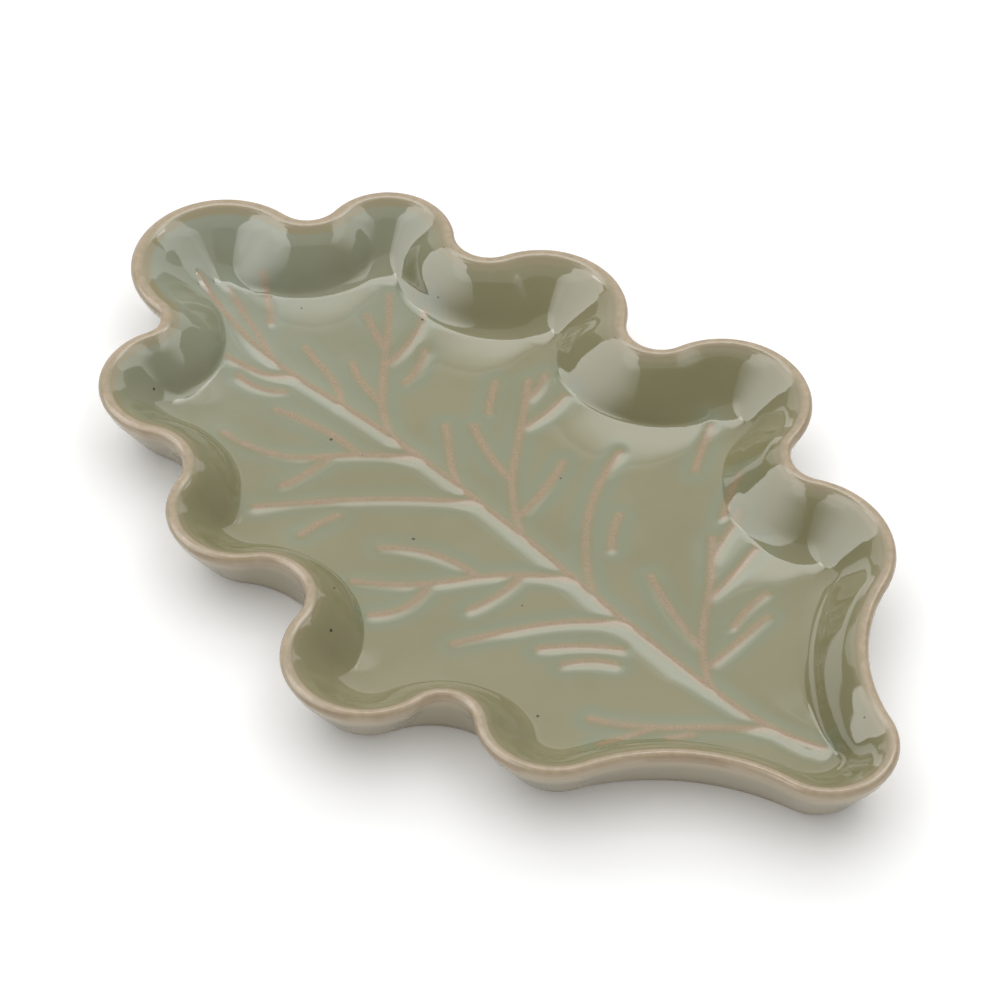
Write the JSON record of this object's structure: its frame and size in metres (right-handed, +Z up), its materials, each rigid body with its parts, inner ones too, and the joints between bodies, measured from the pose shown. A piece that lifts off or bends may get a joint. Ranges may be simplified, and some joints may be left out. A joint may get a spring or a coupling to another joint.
{
  "type": "spoon rest",
  "caption": "Shallow oak-leaf dish of glazed stoneware with raised leaf veins on its floor, for laying a wet cooking spoon on.",
  "frame": {"origin": "on the table, under the middle of the dish's outline", "axes": "+X along the midrib to the leaf's stem end, +Y to the leaf's right-hand side, +Z up"},
  "size_m": [0.2033, 0.1287, 0.015],
  "materials": {
    "stoneware": "buff stoneware, bare on the foot and only thinly glazed along the lip",
    "glaze": "glossy olive-green celadon glaze with blue-green pools and iron specks",
    "slip": "raised lines of buff-pink slip under very thin glaze"
  },
  "bodies": {
    "root": {"clay_body": "stoneware", "inner_glaze": "glaze", "outer_glaze": "glaze", "midrib": "slip", "vein_right_1": "slip", "vein_right_2": "slip", "vein_right_3": "slip", "vein_right_4": "slip", "vein_right_5": "slip", "vein_right_6": "slip", "vein_tip": "slip", "vein_left_1": "slip", "vein_left_2": "slip", "vein_left_3": "slip", "vein_left_4": "slip", "vein_left_5": "slip", "vein_left_6": "slip", "dash_right_1": "slip", "dash_right_2": "slip", "dash_right_3": "slip", "dash_right_4": "slip", "dash_right_5": "slip", "dash_right_6": "slip", "dash_tip": "slip", "dash_left_1": "slip", "dash_left_2": "slip", "dash_left_3": "slip", "dash_left_4": "slip", "dash_left_5": "slip"}
  },
  "joints": []
}
